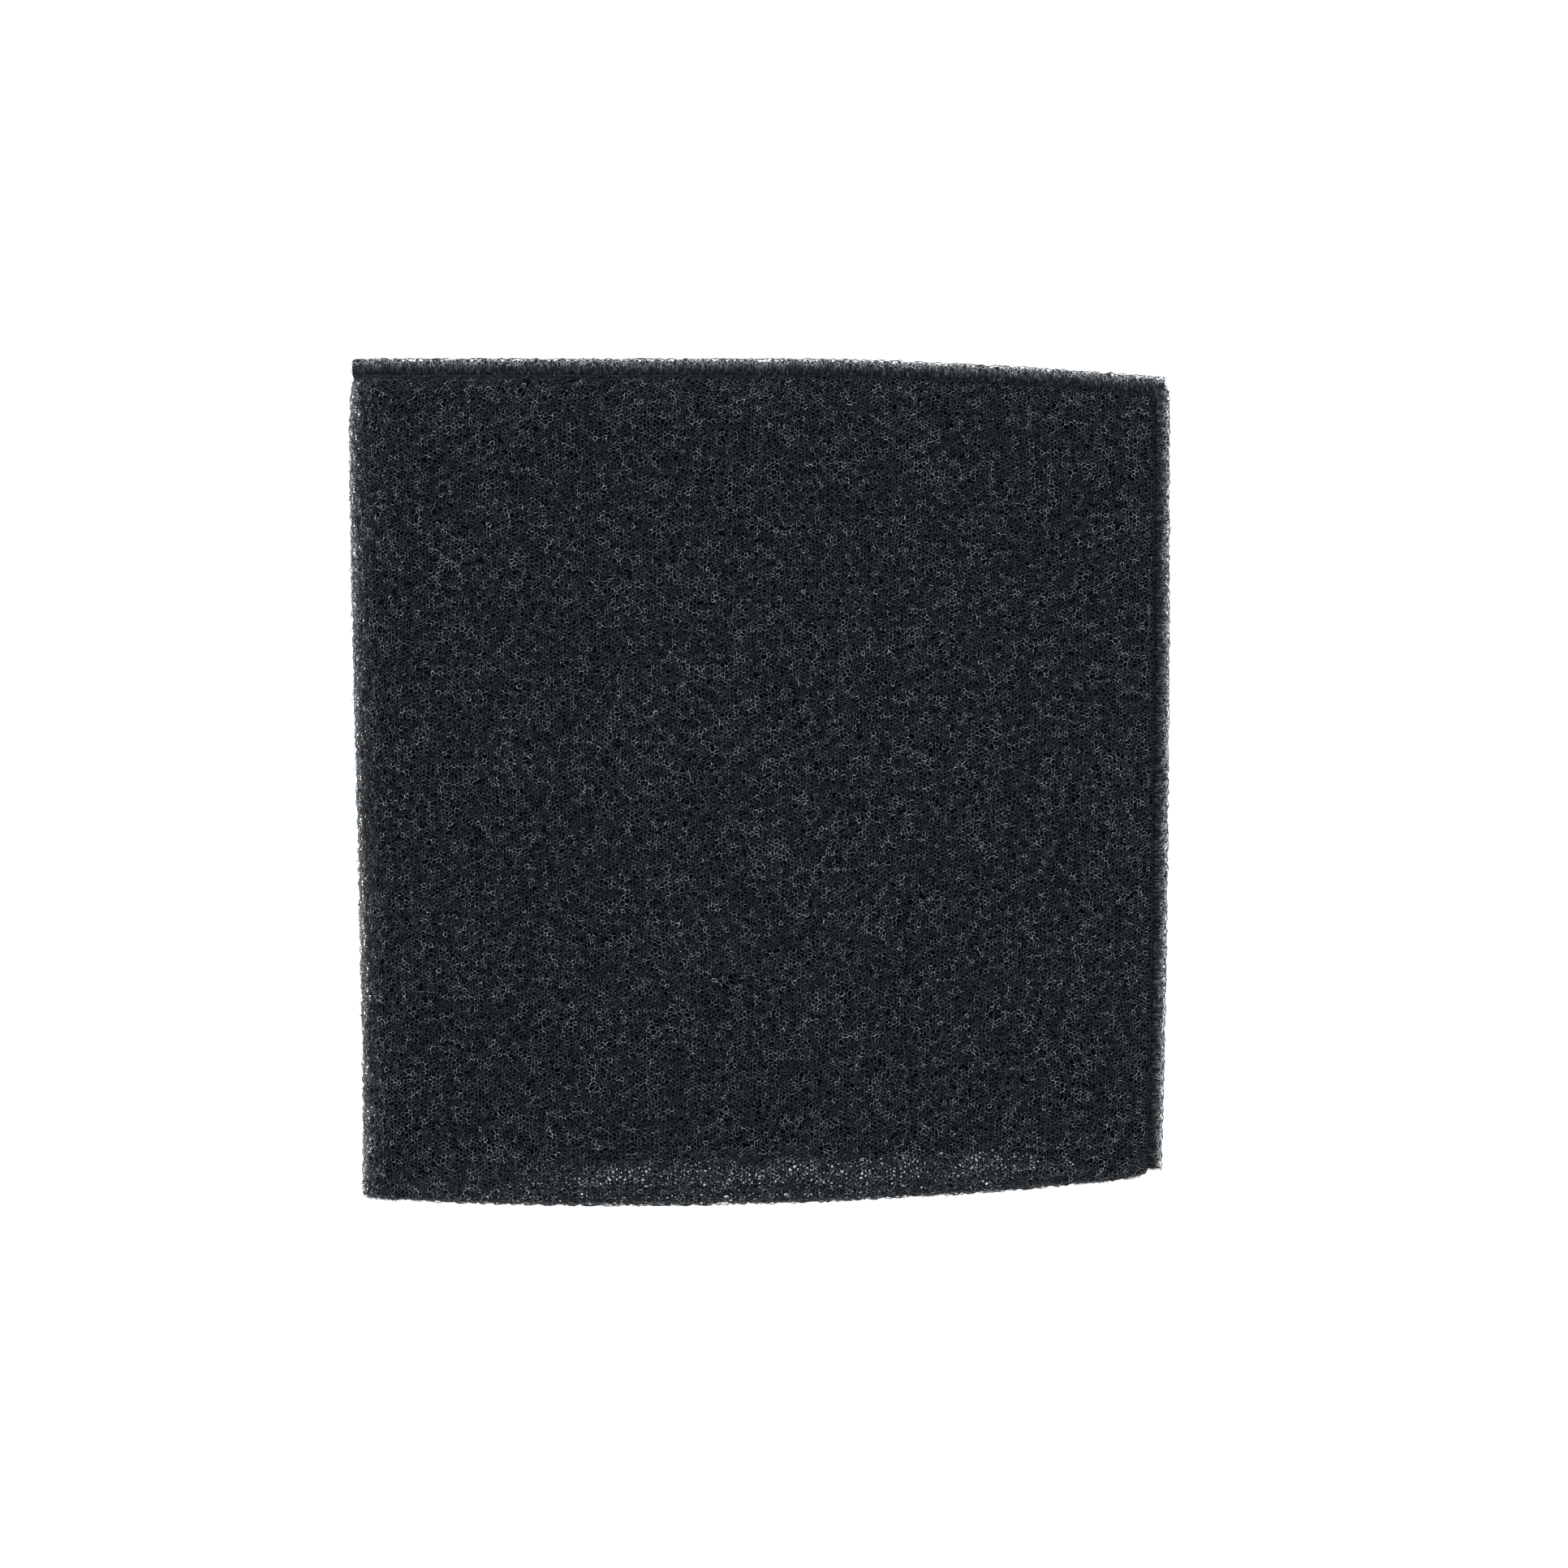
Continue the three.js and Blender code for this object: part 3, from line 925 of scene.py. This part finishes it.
class SPONGE_OT_stray_struts(bpy.types.Operator):
    """Add the loose ends and loops of strut that stand out of the cut edges"""

    bl_idname = "sponge.stray_struts"
    bl_label = "Stray struts"

    def execute(self, context):
        look = context.scene.sponge_foam
        sheet = FoldedSheet(context.scene.sponge_shape)
        material = shared_material("foam_struts", strut_material, look)
        rng = random.Random(91)
        bm = bmesh.new()
        for _ in range(150):
            along_run = rng.uniform(0, sheet.long_run)
            angle_run = rng.uniform(-0.5, 0.5) * sheet.full_fold
            self.add_loop(bm, rng, look, sheet.point(angle_run, along_run, 0.0002), Vector((-1, 0, 0)))
        for _ in range(220):
            across_run = rng.uniform(0.5 * sheet.full_fold, sheet.half_run)
            place = sheet.point(across_run, 0.0002, rng.uniform(0, 0.004))
            self.add_loop(bm, rng, look, place, Vector((0, -1, 0)))
        loops = finish_mesh("stray_struts", bm, material)
        of_foam([loops], "folded_foam")
        return {"FINISHED"}

    def add_loop(self, bm, rng, look, place, outward):
        """A bent strut: a thin rod curved round a centre near the edge of the foam."""
        radius = rng.uniform(0.0003, 0.0007)
        bend = rng.uniform(1.4, 3.4)
        rod = bmesh.new()
        bmesh.ops.create_cone(
            rod, cap_ends=True, segments=5, radius1=0.45 * look.strut, radius2=0.35 * look.strut, depth=1.0,
        )
        lengthwise = [e for e in rod.edges if abs(e.verts[0].co.z - e.verts[1].co.z) > 0.5]
        bmesh.ops.subdivide_edges(rod, edges=lengthwise, cuts=5, use_grid_fill=True)
        for vert in rod.verts:
            angle = vert.co.z * bend
            far = radius + vert.co.x
            vert.co = (far * math.cos(angle), far * math.sin(angle), vert.co.y)
        rod.normal_update()
        bmesh.ops.recalc_face_normals(rod, faces=rod.faces[:])
        turn = Matrix.Rotation(rng.uniform(0, 2 * math.pi), 3, "Z")
        tilt = Matrix.Rotation(rng.uniform(-1.3, 1.3), 3, outward)
        bmesh.ops.rotate(rod, verts=rod.verts[:], cent=(0, 0, 0), matrix=tilt @ turn)
        bmesh.ops.translate(rod, verts=rod.verts[:], vec=place)
        mesh = bpy.data.meshes.new("rod")
        rod.to_mesh(mesh)
        rod.free()
        bm.from_mesh(mesh)
        bpy.data.meshes.remove(mesh)


class SPONGE_OT_studio(bpy.types.Operator):
    """Set the floor, the lights and the camera"""

    bl_idname = "sponge.studio"
    bl_label = "Studio"

    def execute(self, context):
        studio = context.scene.sponge_studio
        self.make_floor(studio)
        self.make_lights(context.scene, studio)
        self.make_camera(context.scene, studio)
        context.scene.view_settings.view_transform = "Standard"
        return {"FINISHED"}

    def make_floor(self, studio):
        bm = bmesh.new()
        bmesh.ops.create_grid(bm, x_segments=8, y_segments=8, size=3.0)
        mesh = bpy.data.meshes.new("floor")
        bm.to_mesh(mesh)
        bm.free()
        floor = bpy.data.objects.new("floor", mesh)
        bpy.context.scene.collection.objects.link(floor)
        material, _, shader = new_material("floor_paper")
        shader.inputs["Base Color"].default_value = (*studio.floor_colour, 1)
        shader.inputs["Roughness"].default_value = 0.9
        shader.inputs["Specular IOR Level"].default_value = 0.0
        mesh.materials.append(material)

    def make_lights(self, scene, studio):
        world = bpy.data.worlds.new("room")
        world.use_nodes = True
        background = world.node_tree.nodes["Background"]
        background.inputs["Color"].default_value = (1, 1, 1, 1)
        background.inputs["Strength"].default_value = studio.world_strength
        scene.world = world
        self.softbox("overhead", (-0.35, 0.55, 1.3), 1.1, studio.overhead_power)
        self.softbox("fill", (0.8, -0.5, 1.0), 1.0, 0.35 * studio.overhead_power)

    def softbox(self, name, place, size, power):
        light = bpy.data.lights.new(name, "AREA")
        light.shape = "SQUARE"
        light.size = size
        light.energy = power
        lamp = bpy.data.objects.new(name, light)
        lamp.location = place
        lamp.rotation_mode = "QUATERNION"
        lamp.rotation_quaternion = (-Vector(place)).to_track_quat("-Z", "Y")
        bpy.context.scene.collection.objects.link(lamp)

    def make_camera(self, scene, studio):
        seam_z = (TOP_WELD_BOX[0].z + TOP_WELD_BOX[1].z) / 2
        camera = bpy.data.cameras.new("camera")
        camera.sensor_width = 36
        camera.lens = camera.sensor_width * (studio.camera_height - seam_z) / studio.frame_width
        camera.clip_start, camera.clip_end = 0.01, 20
        holder = bpy.data.objects.new("camera", camera)
        holder.location = (studio.camera_side, studio.camera_along, studio.camera_height)
        scene.collection.objects.link(holder)
        scene.camera = holder


class SPONGE_PT_panel(bpy.types.Panel):
    """Lists the steps that build the sleeve"""

    bl_label = "Sponge filter"
    bl_idname = "SPONGE_PT_panel"
    bl_space_type = "VIEW_3D"
    bl_region_type = "UI"
    bl_category = "Sponge"

    def draw(self, context):
        for step in STEPS:
            self.layout.operator(step.bl_idname)


STEPS = (
    SPONGE_OT_core, SPONGE_OT_panel_nets, SPONGE_OT_mouth, SPONGE_OT_seams,
    SPONGE_OT_stray_struts, SPONGE_OT_studio,
)
GROUPS = {"sponge_shape": SleeveShape, "sponge_foam": FoamLook, "sponge_studio": StudioLook}


def register():
    for group in GROUPS.values():
        bpy.utils.register_class(group)
    for step in STEPS:
        bpy.utils.register_class(step)
    bpy.utils.register_class(SPONGE_PT_panel)
    for name, group in GROUPS.items():
        setattr(bpy.types.Scene, name, bpy.props.PointerProperty(type=group))


def unregister():
    for name in GROUPS:
        delattr(bpy.types.Scene, name)
    bpy.utils.unregister_class(SPONGE_PT_panel)
    for step in reversed(STEPS):
        bpy.utils.unregister_class(step)
    for group in reversed(GROUPS.values()):
        bpy.utils.unregister_class(group)


def main():
    register()
    bpy.ops.sponge.core()
    bpy.ops.sponge.panel_nets()
    bpy.ops.sponge.mouth()
    bpy.ops.sponge.seams()
    bpy.ops.sponge.stray_struts()
    bpy.ops.sponge.studio()


if __name__ == "__main__":
    main()
